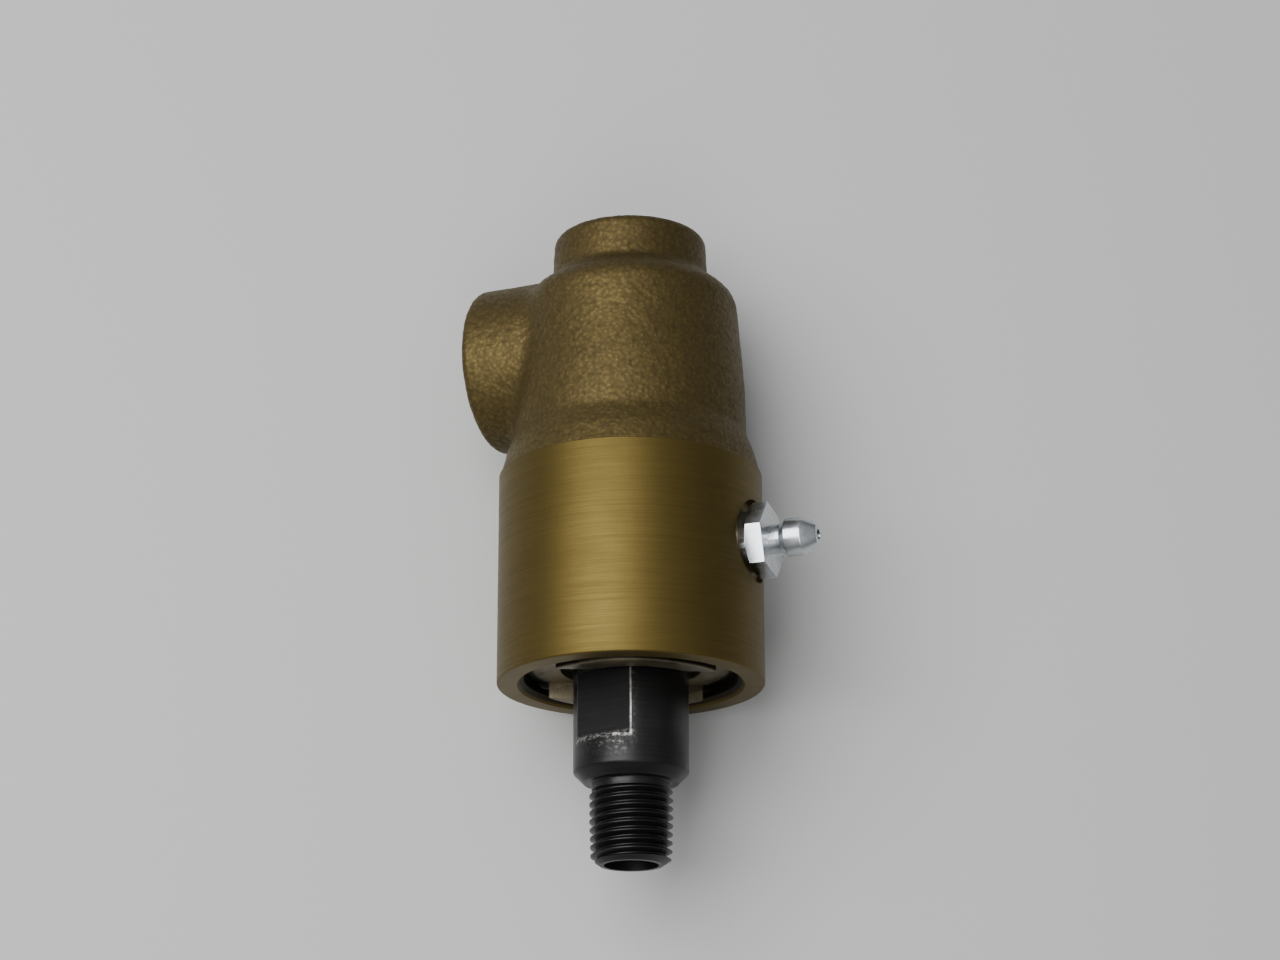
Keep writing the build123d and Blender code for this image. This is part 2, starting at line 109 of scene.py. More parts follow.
def activate(piece: bpy.types.Object) -> None:
    """Makes one piece the only selected and active one."""
    deselect()
    piece.select_set(True)
    bpy.context.view_layer.objects.active = piece


def edit(piece: bpy.types.Object) -> None:
    """Enters edit mode on one piece with everything in it selected."""
    activate(piece)
    bpy.ops.object.mode_set(mode="EDIT")
    bpy.ops.mesh.select_mode(type="VERT")
    bpy.ops.mesh.select_all(action="SELECT")


def leave() -> None:
    """Returns to object mode."""
    bpy.ops.object.mode_set(mode="OBJECT")


def apply_modifiers(piece: bpy.types.Object) -> None:
    """Applies every modifier of the piece in order."""
    activate(piece)
    for modifier in list(piece.modifiers):
        bpy.ops.object.modifier_apply(modifier=modifier.name)


def modify(piece: bpy.types.Object, kind: str, **settings: object) -> None:
    """Adds one modifier and applies it.

    Args:
        piece: the object to change.
        kind: Blender's name of the modifier type.
        **settings: the modifier's properties.
    """
    modifier = piece.modifiers.new(kind.lower(), kind)
    for key, value in settings.items():
        setattr(modifier, key, value)
    apply_modifiers(piece)


def combine(piece: bpy.types.Object, tool: bpy.types.Object, cut: Cut) -> None:
    """Cuts or joins a piece with a tool solid, and removes the tool."""
    modify(piece, "BOOLEAN", object=tool, operation=cut.value, solver="MANIFOLD")
    bpy.data.objects.remove(tool)


def place(piece: bpy.types.Object, matrix: Matrix) -> None:
    """Moves a piece by a matrix and takes the move into its mesh."""
    activate(piece)
    piece.matrix_world = matrix
    bpy.ops.object.transform_apply(location=True, rotation=True, scale=True)


def settle(piece: bpy.types.Object, smooth_angle: float = 32.0) -> None:
    """Brings a finished piece from millimetres to metres, shaded smooth."""
    place(piece, Matrix.Scale(MM, 4))
    activate(piece)
    bpy.ops.object.shade_smooth_by_angle(angle=math.radians(smooth_angle))
    piece.select_set(False)


def dress(piece: bpy.types.Object, *finishes: bpy.types.Material) -> None:
    """Gives a piece its materials, and the first of them to every face."""
    piece.data.materials.clear()
    for finish in finishes:
        piece.data.materials.append(finish)
    piece.data.polygons.foreach_set("material_index", [0] * len(piece.data.polygons))


def standing(axis: Vector, origin: Vector) -> Matrix:
    """Matrix that stands a solid built along +Y on an axis across the part.

    Args:
        axis: unit vector in the XZ plane.
        origin: where the solid's own origin goes.

    Returns:
        The 4 x 4 matrix; the solid's own X then points to -Y.
    """
    across = Vector((-axis.z, 0, axis.x))
    turn = Matrix(((0, -1, 0), tuple(axis), tuple(across))).transposed()
    return Matrix.Translation(origin) @ turn.to_4x4()


def outline(name: str, points: list[Point]) -> bpy.types.Object:
    """Draws an open line of (radius, y) points by extruding one vertex.

    Args:
        name: the new object's name.
        points: the line's points, in millimetres.

    Returns:
        The new object, left in edit mode with its line selected.
    """
    deselect()
    bpy.ops.mesh.primitive_plane_add(size=1.0, location=(0, 0, 0))
    piece = bpy.context.object
    piece.name = name
    piece.data.name = name
    bpy.ops.object.mode_set(mode="EDIT")
    bpy.ops.mesh.select_mode(type="VERT")
    bpy.ops.mesh.select_all(action="SELECT")
    bpy.ops.mesh.merge(type="CENTER")
    first = points[0]
    bpy.ops.transform.translate(value=(first[0], first[1], 0))
    for before, after in zip(points, points[1:]):
        step = (after[0] - before[0], after[1] - before[1], 0)
        bpy.ops.mesh.extrude_vertices_move(TRANSFORM_OT_translate={"value": step})
    bpy.ops.mesh.select_all(action="SELECT")
    return piece


def tidy_shell() -> None:
    """Welds the mesh in edit mode and turns its faces outwards."""
    bpy.ops.mesh.select_all(action="SELECT")
    bpy.ops.mesh.remove_doubles(threshold=WELD)
    bpy.ops.mesh.dissolve_degenerate(threshold=WELD)
    bpy.ops.mesh.select_all(action="SELECT")
    bpy.ops.mesh.normals_make_consistent(inside=False)


def rounded(points: list[tuple[float, ...]], steps: int = 6) -> list[Point]:
    """Rounds the corners of a profile.

    Args:
        points: (radius, y) or (radius, y, corner radius).
        steps: how many straight pieces make one rounded corner.

    Returns:
        Plain (radius, y) points.
    """
    made: list[Point] = []
    count = len(points)
    for i, point in enumerate(points):
        here = Vector(point[:2])
        if len(point) < 3:
            made.append((here.x, here.y))
            continue
        to_before = (Vector(points[i - 1][:2]) - here).normalized()
        to_after = (Vector(points[(i + 1) % count][:2]) - here).normalized()
        half = math.acos(max(-1.0, min(1.0, to_before.dot(to_after)))) / 2
        centre = here + (to_before + to_after).normalized() * (point[2] / math.sin(half))
        start = here + to_before * (point[2] / math.tan(half)) - centre
        stop = here + to_after * (point[2] / math.tan(half)) - centre
        sweep = start.angle_signed(stop)
        for k in range(steps + 1):
            turn = Matrix.Rotation(-sweep * k / steps, 2)
            at = centre + turn @ start
            made.append((at.x, at.y))
    return made


def lathe(name: str, points: list[tuple[float, ...]], steps: int = 160) -> bpy.types.Object:
    """Spins a closed (radius, y) profile about Y into a solid.

    Args:
        name: the new object's name.
        points: the profile, with an optional corner radius per point.
        steps: how many facets go round.

    Returns:
        The new object, closed and facing outwards.
    """
    line = rounded(points)
    if line[0][0] > 0 or line[-1][0] > 0:
        line.append(line[0])
    piece = outline(name, line)
    bpy.ops.mesh.spin(steps=steps, angle=math.tau, center=(0, 0, 0), axis=(0, 1, 0))
    tidy_shell()
    leave()
    return piece


def rod(name: str, radius: float, low: float, high: float, steps: int = 96) -> bpy.types.Object:
    """Plain cylinder along Y, used as a cutting tool."""
    return lathe(name, [(0, low), (radius, low), (radius, high), (0, high)], steps)


def select_faces(piece: bpy.types.Object, test: Callable[[Vector], bool]) -> None:
    """Enters edit mode with only the faces selected that pass a test.

    Args:
        piece: the object to select in.
        test: takes a face's centre.
    """
    activate(piece)
    mesh = piece.data
    for part in (mesh.vertices, mesh.edges, mesh.polygons):
        part.foreach_set("select", [False] * len(part))
    for face in mesh.polygons:
        face.select = test(face.center)
    bpy.ops.object.mode_set(mode="EDIT")
    bpy.ops.mesh.select_mode(type="FACE")


@dataclass(frozen=True)
class TaperThread:
    """A pipe thread with its small end at y = 0, growing toward +Y."""

    pitch: float = 1.411
    tip_radius: float = 6.63        # crest radius at the small end
    limit_radius: float = 6.858     # the crests never pass this
    length: float = 12.0
    slope: float = 1 / 32           # growth of the radius
    crest: float = 0.10             # width of the crest's flat, in pitches
    root: float = 0.08              # width of the root's flat, in pitches
    depth: float = 0.76             # in pitches
    facets: int = 96

    def build(self, name: str) -> bpy.types.Object:
        """Models the thread as a closed solid.

        Args:
            name: the new object's name.

        Returns:
            The solid, along +Y from y = 0 to the thread's length.
        """
        low = self.tip_radius - self.depth * self.pitch
        flank = (1 - self.crest - self.root) / 2
        marks = [0.0, self.root, self.root + flank, self.root + flank + self.crest, 1.0]
        radii = [low, low, self.tip_radius, self.tip_radius, low]
        piece = outline(name, [(r, m * self.pitch) for r, m in zip(radii, marks)])
        leave()
        turns = math.ceil(self.length / self.pitch) + 3
        modify(piece, "SCREW", axis="Y", angle=math.tau, screw_offset=self.pitch, iterations=turns,
               steps=self.facets, render_steps=self.facets, use_merge_vertices=True, merge_threshold=WELD)
        self._taper(piece)
        edit(piece)
        bpy.ops.mesh.remove_doubles(threshold=WELD)
        for level, sign in ((0.0, -1.0), (self.length, 1.0)):
            bpy.ops.mesh.select_all(action="SELECT")
            bpy.ops.mesh.bisect(plane_co=(0, level, 0), plane_no=(0, sign, 0), use_fill=True,
                                clear_outer=True)
        tidy_shell()
        leave()
        return piece

    def _taper(self, piece: bpy.types.Object) -> None:
        """Lowers the screw by two turns and gives it its taper and limit."""
        for vertex in piece.data.vertices:
            at = vertex.co
            at.y -= 2 * self.pitch
            radius = math.hypot(at.x, at.z)
            wanted = min(radius + at.y * self.slope, self.limit_radius)
            at.x *= wanted / radius
            at.z *= wanted / radius


# ---------------------------------------------------------------------------
# Shader helpers
# ---------------------------------------------------------------------------
Value = Union["Socket", float, int, tuple]


class Socket:
    """One output of a shader node that takes part in Python arithmetic."""

    def __init__(self, graph: "Graph", output: bpy.types.NodeSocket) -> None:
        """Keeps the graph and the node's output."""
        self.graph = graph
        self.output = output

    def _math(self, operation: str, first: Value, second: Value, clamp: bool = False) -> "Socket":
        """Adds one Math node."""
        settings = {"operation": operation, "use_clamp": clamp}
        return self.graph.node("ShaderNodeMath", settings, {0: first, 1: second})

    def __add__(self, other: Value) -> "Socket":
        """self + other."""
        return self._math("ADD", self, other)

    def __radd__(self, other: Value) -> "Socket":
        """other + self."""
        return self._math("ADD", other, self)

    def __sub__(self, other: Value) -> "Socket":
        """self - other."""
        return self._math("SUBTRACT", self, other)

    def __rsub__(self, other: Value) -> "Socket":
        """other - self."""
        return self._math("SUBTRACT", other, self)

    def __mul__(self, other: Value) -> "Socket":
        """self * other."""
        return self._math("MULTIPLY", self, other)

    def __rmul__(self, other: Value) -> "Socket":
        """other * self."""
        return self._math("MULTIPLY", other, self)

    def __truediv__(self, other: Value) -> "Socket":
        """self / other."""
        return self._math("DIVIDE", self, other)

    def clamped(self) -> "Socket":
        """The value held between 0 and 1."""
        return self._math("MULTIPLY", self, 1.0, clamp=True)

    def size(self) -> "Socket":
        """The value without its sign."""
        return self._math("ABSOLUTE", self, 0.0)

    def power(self, exponent: float) -> "Socket":
        """The value to a power."""
        return self._math("POWER", self, exponent)


class Graph:
    """A material's node tree, built by expressions."""

    def __init__(self, name: str) -> None:
        """Starts a material with a Principled shader."""
        self.material = bpy.data.materials.new("finish_" + name)
        self.material.use_nodes = True
        self.tree = self.material.node_tree
        self.shader = self.tree.nodes["Principled BSDF"]
        self.place = self.node("ShaderNodeTexCoord", {}, {}, "Object")

    def node(self, kind: str, settings: dict[str, object], inputs: dict[Union[str, int], Value],
             output: Union[str, int] = 0) -> Socket:
        """Adds any node.

        Args:
            kind: the node's type.
            settings: properties set first; "stops" are a ramp's stops.
            inputs: values or links, by socket name or number.
            output: which output is returned.

        Returns:
            The chosen output.
        """
        made = self.tree.nodes.new(kind)
        for key, value in settings.items():
            if key == "stops":
                self._stops(made.color_ramp, value)
            else:
                setattr(made, key, value)
        for key, value in inputs.items():
            self.feed(made.inputs[key], value)
        return Socket(self, made.outputs[output])

    @staticmethod
    def _stops(ramp: bpy.types.ColorRamp, stops: list[tuple[float, Colour]]) -> None:
        """Gives a colour ramp its stops."""
        while len(ramp.elements) < len(stops):
            ramp.elements.new(0.5)
        for element, (at, colour) in zip(ramp.elements, stops):
            element.position = at
            element.color = (*colour, 1.0)

    def feed(self, socket: bpy.types.NodeSocket, value: Value) -> None:
        """Links a socket, or sets its number or colour."""
        if isinstance(value, Socket):
            self.tree.links.new(value.output, socket)
        elif isinstance(value, tuple) and socket.type == "RGBA":
            socket.default_value = (*value[:3], 1.0)
        else:
            socket.default_value = value

    def set(self, **values: Value) -> None:
        """Sets the shader's sockets; a name's underscores stand for spaces."""
        for key, value in values.items():
            self.feed(self.shader.inputs[key.replace("_", " ")], value)

    def axis(self, name: str) -> Socket:
        """One coordinate of the point on the piece, in metres."""
        return self.node("ShaderNodeSeparateXYZ", {}, {0: self.place}, name)

    def radius(self) -> Socket:
        """Distance of the point from the turning axis, in metres."""
        across, up = self.axis("X"), self.axis("Z")
        return (across * across + up * up).power(0.5)

    def noise(self, scale: float, detail: float = 3.0, rough: float = 0.55,
              where: Value | None = None) -> Socket:
        """Noise from 0 to 1; scale is in features per metre."""
        inputs = {"Vector": where or self.place, "Scale": scale, "Detail": detail, "Roughness": rough}
        return self.node("ShaderNodeTexNoise", {}, inputs, "Fac")

    def streaks(self, scale: Scale, detail: float, rough: float) -> Socket:
        """Noise with its own scale along each axis, in features per metre."""
        inputs = {"Vector": self.place, "Scale": scale}
        where = self.node("ShaderNodeMapping", {"vector_type": "POINT"}, inputs)
        return self.noise(1.0, detail, rough, where)

    def cells(self, scale: float) -> Socket:
        """Distance to the middle of the nearest cell; scale is in cells per metre."""
        inputs = {"Vector": self.place, "Scale": scale, "Smoothness": CELL_SMOOTHNESS}
        return self.node("ShaderNodeTexVoronoi", {"feature": "SMOOTH_F1"}, inputs, "Distance")

    def ramp(self, value: Value, stops: list[tuple[float, Colour]]) -> Socket:
        """Colour of a value between stops."""
        return self.node("ShaderNodeValToRGB", {"stops": stops}, {"Fac": value}, "Color")

    def span(self, value: Value, low: float, high: float,
             to_low: float = 0.0, to_high: float = 1.0) -> Socket:
        """Maps a range of values smoothly onto another and holds its ends."""
        inputs = {"Value": value, "From Min": low, "From Max": high, "To Min": to_low, "To Max": to_high}
        return self.node("ShaderNodeMapRange", {"interpolation_type": "SMOOTHSTEP"}, inputs)

    def mix(self, factor: Value, first: Value, second: Value) -> Socket:
        """Mixes two colours."""
        return self.node("ShaderNodeMix", {"data_type": "RGBA"}, {0: factor, 6: first, 7: second}, 2)

    def bump(self, height: Value, strength: float, distance: float) -> None:
        """Drives the shader's normal by a height, with distance in metres."""
        inputs = {"Height": height, "Strength": strength, "Distance": distance}
        self.feed(self.shader.inputs["Normal"], self.node("ShaderNodeBump", {}, inputs, "Normal"))


# ---------------------------------------------------------------------------
# Finishes
# ---------------------------------------------------------------------------
@dataclass(frozen=True)
class CastBronze:
    """Sand-cast bronze: pebbly, dull in its pits and rubbed on its bumps, with small painted highlights as
    glints.
    """

    pit: Colour = (0.048, 0.034, 0.012)
    body: Colour = (0.088, 0.063, 0.020)
    rubbed: Colour = (0.165, 0.122, 0.042)
    grain: float = 1700.0           # features per metre, as the next four
    pebble: float = 1350.0
    broad: float = 45.0
    painted_glint: float = 2300.0
    fine: float = 3600.0
    relief: float = 0.0002          # metres

    def material(self) -> bpy.types.Material:
        """Builds the material."""
        g = Graph("cast_bronze")
        grain = g.noise(self.grain, 4, 0.6)
        pebble = g.cells(self.pebble)
        broad = g.noise(self.broad, 3)
        height = grain * 0.7 + (1 - pebble) * 0.5
        tone = (height * 0.62 + broad * 0.38).clamped()
        # painted highlight: small glints lighten the colour towards the rubbed bronze
        painted_glint = g.span(g.noise(self.painted_glint, 2), 0.66, 0.74)
        bronze = g.ramp(tone, [(0.30, self.pit), (0.60, self.body), (0.92, self.rubbed)])
        g.set(Base_Color=g.mix(painted_glint * 0.4, bronze, self.rubbed), Metallic=0.8,
              Roughness=g.span(tone, 0.3, 0.9, 0.64, 0.46) - painted_glint * 0.16)
        g.bump(height + g.noise(self.fine, 2) * 0.2, 0.52, self.relief)
        return g.material


@dataclass(frozen=True)
class TurnedBronze:
    """Bronze turned on a lathe: fine lines run round the axis, and painted shade darkens the bore inside the
    mouth.
    """

    dark: Colour = (0.074, 0.051, 0.0135)
    light: Colour = (0.136, 0.099, 0.027)
    painted_recess_shade: Colour = (0.022, 0.018, 0.012)
    fine_lines: Scale = (30, 7000, 30)
    wide_lines: Scale = (16, 1100, 16)
    dashes: Scale = (170, 5200, 170)
    stains: float = 70.0
    relief: float = 0.00004         # metres
    mouth_radius: float = 0.0183    # metres; the bore inside it is darkened as painted shade
    mouth_edge: float = 0.0003
    shade_reach: tuple[float, float] = (0.0285, 0.0325)  # where the painted shade ends, along Y

    def material(self) -> bpy.types.Material:
        """Builds the material."""
        g = Graph("turned_bronze")
        lines = g.streaks(self.fine_lines, 5, 0.7)
        bands = g.streaks(self.wide_lines, 3, 0.6)
        dash = g.streaks(self.dashes, 2, 0.5)
        stain = g.noise(self.stains, 4, 0.6)
        tone = (lines * 0.42 + bands * 0.16 + dash * 0.24 + stain * 0.26).clamped()
        # painted shade: the bore inside the mouth, near the front face, goes dark in colour
        inside = g.span(g.radius(), self.mouth_radius, self.mouth_radius + self.mouth_edge, 1.0, 0.0)
        front = g.span(g.axis("Y"), *self.shade_reach, 1.0, 0.0)
        painted_shade_mask = inside * front
        metal = g.ramp(tone, [(0.30, self.dark), (0.75, self.light)])
        g.set(Base_Color=g.mix(painted_shade_mask * 0.92, metal, self.painted_recess_shade), Metallic=0.93,
              Roughness=g.span(tone, 0.2, 0.9, 0.56, 0.43))
        g.bump(lines + bands * 0.4 + dash * 0.5, 0.3, self.relief)
        return g.material


@dataclass(frozen=True)
class BlackOxide:
    """Blackened steel, rubbed bright where wrenches and fittings touched it."""

    black: Colour = (0.0125, 0.0122, 0.0122)
    grey: Colour = (0.036, 0.035, 0.035)
    bare: Colour = (0.46, 0.45, 0.43)
    flat_turn: float = 34.0         # degrees, of the first wrench flat
    half_across: float = 0.0079375  # metres
    shaft_radius: float = 0.009525
    flat_ends: tuple[float, float] = (0.0064, 0.0174)
    lines: Scale = (60, 5200, 60)   # features per metre, as the next three
    clouds: float = 140.0
    patches: float = 900.0
    rubs: float = 1500.0
    relief: float = 0.00003         # metres

    def material(self) -> bpy.types.Material:
        """Builds the material."""
        g = Graph("black_oxide")
        lines = g.streaks(self.lines, 4, 0.65)
        cloud = g.noise(self.clouds, 3)
        worn = self._worn_edges(g)
        black = g.ramp(lines * 0.5 + cloud * 0.5, [(0.3, self.black), (0.75, self.grey)])
        g.set(Base_Color=g.mix(worn, black, self.bare), Metallic=0.78,
              Roughness=g.span(cloud, 0.3, 0.7, 0.44, 0.33) - worn * 0.06)
        g.bump(lines, 0.25, self.relief)
        return g.material

    def _worn_edges(self, g: Graph) -> Socket:
        """Share of bare metal: along the flats' edges, the ledges and the collar.

        Args:
            g: the material's graph.

        Returns:
            0 where the black is whole, up to 1 where it is rubbed off.
        """
        turn = math.radians(self.flat_turn)
        along, across, up = g.axis("Y"), g.axis("X"), g.axis("Z")
        height = (up * math.cos(turn) - across * math.sin(turn)).size()
        sideways = across * math.cos(turn) + up * math.sin(turn)
        aside = sideways.size()
        edge_x = math.sqrt(self.shaft_radius ** 2 - self.half_across ** 2)
        start, stop = self.flat_ends
        beside = g.span(along, start - 0.0003, start + 0.0002)
        beside = beside * g.span(along, stop - 0.0002, stop, 1.0, 0.0)
        patchy = g.noise(self.patches, 3, 0.6)
        rub = g.noise(self.rubs, 4, 0.75)
        line = g.span((aside - edge_x).size(), 0.00005, 0.00022, 1.0, 0.0)
        line = line * g.span(height, self.half_across - 0.0004, self.half_across - 0.0002) * beside
        line = line * g.span(sideways, -0.001, 0.001, 0.12, 1.0)
        ledge = g.span((along - start).size(), 0.0002, 0.0009, 1.0, 0.0)
        ledge = ledge * g.span(height, self.half_across - 0.0006, self.half_across + 0.0002)
        skin = g.span(g.radius(), self.shaft_radius - 0.0002, self.shaft_radius - 0.00005)
        scuff = g.span(rub, 0.50, 0.68) * skin * g.span(along, start, start - 0.0045, 1.0, 0.0)
        scuff = scuff * g.span(height, self.half_across - 0.001, self.half_across + 0.0009)
        scuff = scuff * g.span(sideways, -0.002, 0.002, 0.25, 1.0)
        return (line * g.span(patchy, 0.36, 0.5, 0.35, 1.0) + ledge * g.span(rub, 0.44, 0.60) * 0.55
                + scuff * 0.34).clamped()


@dataclass(frozen=True)
class PlainMetal:
    """Machined or plated metal with faint lines, stains and speckle."""

    name: str
    dark: Colour
    light: Colour
    rough: tuple[float, float] = (0.22, 0.38)
    metallic: float = 1.0
    stains: float = 260.0           # features per metre, as the grain
    grain: float = 2600.0
    relief: float = 0.00001         # metres

    def material(self) -> bpy.types.Material:
        """Builds the material."""
        g = Graph(self.name)
        stain = g.noise(self.stains, 4, 0.6)
        speck = g.noise(self.grain, 3, 0.6)
        tone = (stain * 0.65 + speck * 0.35).clamped()
        g.set(Base_Color=g.ramp(tone, [(0.32, self.dark), (0.68, self.light)]), Metallic=self.metallic,
              Roughness=g.span(stain, 0.3, 0.7, *self.rough))
        g.bump(speck, 0.3, self.relief)
        return g.material


@dataclass(frozen=True)
class ShadedYellowZinc:
    """Yellow zinc plate, stained, darkened nearly black as painted shade beyond the ring's lip."""

    dark: Colour = (0.078, 0.062, 0.038)
    light: Colour = (0.205, 0.176, 0.112)
    grease: Colour = (0.012, 0.011, 0.010)
    lip_radius: float = 0.0163      # metres
    stains: float = 260.0           # features per metre, as the grain
    grain: float = 2600.0
    relief: float = 0.00001         # metres

    def material(self) -> bpy.types.Material:
        """Builds the material."""
        g = Graph("yellow_zinc")
        stain = g.noise(self.stains, 4, 0.6)
        speck = g.noise(self.grain, 3, 0.6)
        tone = (stain * 0.65 + speck * 0.35).clamped()
        # painted shade: beyond the lip's radius the colour goes nearly black
        painted_shade_mask = g.span(g.radius(), self.lip_radius - 0.0002, self.lip_radius + 0.0001)
        metal = g.ramp(tone, [(0.32, self.dark), (0.68, self.light)])
        g.set(Base_Color=g.mix(painted_shade_mask, metal, self.grease), Metallic=0.9,
              Roughness=g.span(stain, 0.3, 0.7, 0.34, 0.5))
        g.bump(speck, 0.3, self.relief)
        return g.material


# ---------------------------------------------------------------------------
# Sub-assemblies
# ---------------------------------------------------------------------------
@dataclass
class Layout:
    """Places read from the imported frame, in millimetres."""

    record: dict
    mounts: dict[str, dict] = field(init=False)

    def __post_init__(self) -> None:
        """Sorts the mounts by name."""
        self.mounts = {mount["name"]: mount for mount in self.record["mounts"]}

    def low(self, node: str) -> Vector:
        """Lowest corner of a CAD node."""
        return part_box(node)[0] / MM

    def high(self, node: str) -> Vector:
        """Highest corner of a CAD node."""
        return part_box(node)[1] / MM

    def axis(self, mount: str) -> Vector:
        """Direction in which a mount's mate leaves."""
        return Vector(self.mounts[mount]["axis"])

    def y(self, mount: str) -> float:
        """Place of a mount along the turning axis."""
        return self.mounts[mount]["pos_m"][1] / MM


@dataclass
class Rotor:
    """The turning shaft with its wrench flats, relief, thread and bore."""

    layout: Layout
    shaft_radius: float = 9.525
    seat_radius: float = 8.5
    seat_y: float = 21.5
    bore_radius: float = 4.5
    collar_chamfer: float = 1.7
    relief_radius: float = 6.5
    relief_length: float = 1.25
    tip_chamfer: float = 0.9
    tip_face_radius: float = 5.2
    flat_across: float = 15.875
    flat_start: float = 6.4
    flat_length: float = 11.0
    flat_turn: float = 34.0
    snap_groove: tuple[float, float, float] = (55.5, 56.5, 8.0)
    pocket: tuple[float, float] = (54.6, 7.12)
    relief_round: float = 0.25
    collar_rounds: tuple[float, float] = (0.4, 0.7)     # at the chamfer's two edges
    tail_round: float = 0.3
    edge_break: float = 0.09
    tip_slope: float = 1.3          # length of the tip's cone, in tip chamfers
    crest_margin: float = 0.1       # by which the trimming cone clears the crests
    runout: float = 0.4             # length over which the thread runs out
    thread_lap: float = 0.05        # thread's end inside the relief

    def build(self, finish: bpy.types.Material) -> None:
        """Models the shaft and its thread and puts them on the rotor body."""
        shaft = self._shaft()
        thread = self._thread()
        for piece in (shaft, thread):
            dress(piece, finish)
            settle(piece)
            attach(piece, "rotor")
            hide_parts("rotor")
            log.info("%s: %d faces", piece.name, len(piece.data.polygons))

    def _shaft(self) -> bpy.types.Object:
        """Spins the shaft and cuts its two flats."""
        tail = self.layout.high("rotor").y
        groove_low, groove_high, groove_r = self.snap_groove
        pocket_y, pocket_r = self.pocket
        foot_round, top_round = self.collar_rounds
        shaft = lathe("rotor_shaft", [
            (self.bore_radius, -self.relief_length), (self.relief_radius, -self.relief_length),
            (self.relief_radius, 0, self.relief_round),
            (self.shaft_radius - self.collar_chamfer, 0, foot_round),
            (self.shaft_radius, self.collar_chamfer, top_round),
            (self.shaft_radius, self.seat_y), (self.seat_radius, self.seat_y),
            (self.seat_radius, groove_low), (groove_r, groove_low), (groove_r, groove_high),
            (self.seat_radius, groove_high), (self.seat_radius, tail, self.tail_round), (pocket_r, tail),
            (pocket_r, pocket_y), (self.bore_radius, pocket_y)], 192)
        for side in (0, 180):
            deselect()
            middle = self.flat_start + self.flat_length / 2
            bpy.ops.mesh.primitive_cube_add(size=1.0)
            tool = bpy.context.object
            height = self.shaft_radius
            turn = Matrix.Rotation(math.radians(side - self.flat_turn), 4, "Y")
            lift = Matrix.Translation((0, middle, self.flat_across / 2 + height / 2))
            place(tool, turn @ lift @ Matrix.Diagonal((2 * height, self.flat_length, height, 1)))
            combine(shaft, tool, Cut.AWAY)
        modify(shaft, "BEVEL", width=self.edge_break, segments=2, limit_method="ANGLE",
               angle_limit=math.radians(40))
        return shaft

    def _thread(self) -> bpy.types.Object:
        """Models the male pipe thread with its tip chamfer and bore."""
        tip = self.layout.low("rotor").y
        spec = TaperThread(length=-tip - self.relief_length + self.thread_lap)
        thread = spec.build("rotor_thread")
        outer, end = spec.limit_radius + self.crest_margin, spec.length + self.crest_margin
        cone = lathe("cone", [(0, -LAP), (self.tip_face_radius - LAP, -LAP), (self.tip_face_radius, 0),
                              (outer, self.tip_chamfer * self.tip_slope), (outer, spec.length - self.runout),
                              (self.relief_radius, end), (0, end)])
        combine(thread, cone, Cut.COMMON)
        combine(thread, rod("bore", self.bore_radius, -LAP, spec.length + LAP), Cut.AWAY)
        place(thread, Matrix.Translation((0, tip, 0)))
        return thread


